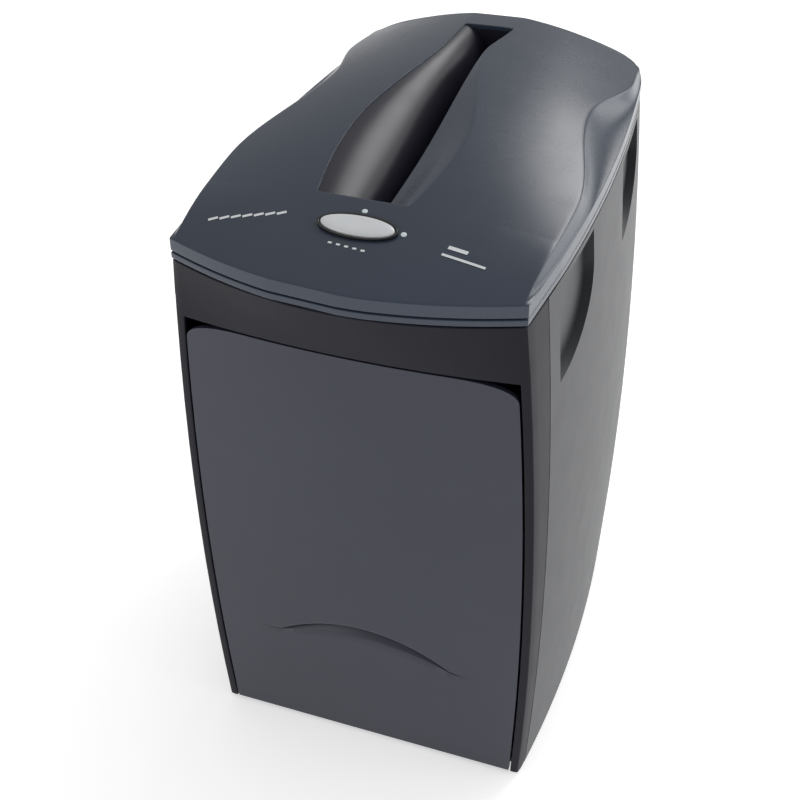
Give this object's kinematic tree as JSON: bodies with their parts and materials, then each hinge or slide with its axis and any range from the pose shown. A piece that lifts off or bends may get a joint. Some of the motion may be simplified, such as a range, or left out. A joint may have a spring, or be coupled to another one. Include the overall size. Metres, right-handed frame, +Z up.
{
  "type": "paper shredder",
  "caption": "deskside cabinet paper shredder with a front-to-back throat in a crowned hood, an oval rocker control and a pull-out bin under a geared cross-cut cutter head",
  "frame": {"origin": "middle of the case's outline at the floor, under the feet", "axes": "+Z up, -Y is the front with the pull-out bin, +X is the user's right when facing the front"},
  "size_m": [0.2678, 0.3692, 0.4798],
  "materials": {
    "hood_plastic": "fine moulded grain, soft sheen",
    "throat_plastic": "smooth dark moulding",
    "frame_plastic": "fine moulded grain, dark",
    "side_plastic": "fine moulded grain",
    "bin_plastic": "fine moulded grain, bluish grey",
    "bucket_plastic": "smooth black moulding",
    "inner_plastic": "glass-filled black nylon",
    "bezel_plastic": "glossy black",
    "rocker_plastic": "silver-white paint, satin",
    "lens_plastic": "clear indicator lens",
    "gear_plastic": "natural acetal",
    "plunger_plastic": "red acetal",
    "capacitor_plastic": "light grey can",
    "foot_rubber": "moulded rubber",
    "board_green": "solder mask",
    "plate_steel": "zinc plated sheet",
    "bright_steel": "ground steel",
    "cutter_steel": "hardened and oiled",
    "screw_steel": "zinc plated",
    "motor_steel": "grey enamel",
    "winding_copper": "enamelled copper and laminations",
    "bush_bronze": "sintered bronze",
    "pinion_brass": "cut brass"
  },
  "bodies": {
    "case": {"hood_shell": "hood_plastic", "throat_guide": "throat_plastic", "front_frame": "frame_plastic", "side_panel_left": "side_plastic", "side_panel_right": "side_plastic", "back_panel": "side_plastic", "base_tray": "frame_plastic", "head_shelf": "inner_plastic", "rubber_feet": "foot_rubber", "control_bezel": "bezel_plastic", "indicator_lenses": "lens_plastic", "control_board": "board_green", "rocker_switch": "inner_plastic", "bin_runner_left": "inner_plastic", "bin_runner_right": "inner_plastic", "cutter_plate_front": "plate_steel", "cutter_plate_rear": "plate_steel", "tie_rods": "bright_steel", "tie_rod_nuts": "bright_steel", "shaft_bushes": "bush_bronze", "stripper_comb_left": "inner_plastic", "stripper_comb_right": "inner_plastic", "middle_gear_pin": "bright_steel", "gear_cover": "inner_plastic", "motor_case": "motor_steel", "motor_end_cap": "motor_steel", "motor_stator": "winding_copper", "motor_screws": "screw_steel", "run_capacitor": "capacitor_plastic", "capacitor_clip": "plate_steel", "sensor_bracket": "inner_plastic", "sensor_switch": "inner_plastic", "interlock_switch": "inner_plastic", "power_inlet": "bezel_plastic", "inlet_screws": "screw_steel", "back_screws": "screw_steel", "base_screws": "screw_steel"},
    "bin": {"bin_front": "bin_plastic", "bin_bucket": "bucket_plastic", "bin_screws": "screw_steel"},
    "rocker": {"control_rocker": "rocker_plastic"},
    "cutter_left": {"cutter_shaft_left": "bright_steel", "cutter_discs_left": "cutter_steel", "spacers_left": "inner_plastic", "pair_gear_left": "cutter_steel", "shaft_drive_gear": "cutter_steel"},
    "cutter_right": {"cutter_shaft_right": "bright_steel", "cutter_discs_right": "cutter_steel", "spacers_right": "inner_plastic", "pair_gear_right": "cutter_steel"},
    "middle_wheel": {"middle_gear": "gear_plastic"},
    "motor_armature": {"motor_rotor": "bright_steel", "motor_pinion": "pinion_brass", "motor_fan": "gear_plastic"},
    "sensor_arm": {"sensor_lever": "gear_plastic"},
    "lock_plunger": {"interlock_plunger": "plunger_plastic"}
  },
  "joints": [
    {"name": "bin_slide", "type": "slide", "parent": "case", "child": "bin", "axis": [0, -1, 0], "range_m": [0, 0.28]},
    {"name": "rocker_tilt", "type": "hinge", "parent": "case", "child": "rocker", "pos_m": [-0.002, -0.12601, 0.45323], "axis": [0, 0.9803, 0.1976], "range_deg": [-6, 6]},
    {"name": "cutter_left_spin", "type": "hinge", "parent": "case", "child": "cutter_left", "pos_m": [-0.017, 0.03, 0.402], "axis": [0, 1, 0], "continuous": true},
    {"name": "cutter_right_spin", "type": "hinge", "parent": "case", "child": "cutter_right", "pos_m": [0.017, 0.03, 0.402], "axis": [0, 1, 0], "continuous": true},
    {"name": "middle_gear_spin", "type": "hinge", "parent": "case", "child": "middle_wheel", "pos_m": [-0.04825, -0.11, 0.402], "axis": [0, 1, 0], "continuous": true},
    {"name": "motor_spin", "type": "hinge", "parent": "case", "child": "motor_armature", "pos_m": [-0.076, -0.03, 0.402], "axis": [0, 1, 0], "continuous": true},
    {"name": "sensor_press", "type": "hinge", "parent": "case", "child": "sensor_arm", "pos_m": [0.0144, 0.03, 0.442], "axis": [0, -1, 0], "range_deg": [0, 25], "stiffness_Nm_per_rad": 0.004, "springref_deg": -11.46},
    {"name": "plunger_press", "type": "slide", "parent": "case", "child": "lock_plunger", "axis": [0, 1, 0], "range_m": [0, 0.002], "stiffness_N_per_m": 200, "springref_m": -0.002}
  ],
  "couplings": [
    {"joint": "cutter_right_spin", "follows": "cutter_left_spin", "ratio": -1},
    {"joint": "middle_gear_spin", "follows": "cutter_left_spin", "ratio": -3.1667},
    {"joint": "motor_spin", "follows": "cutter_left_spin", "ratio": 13.571}
  ]
}
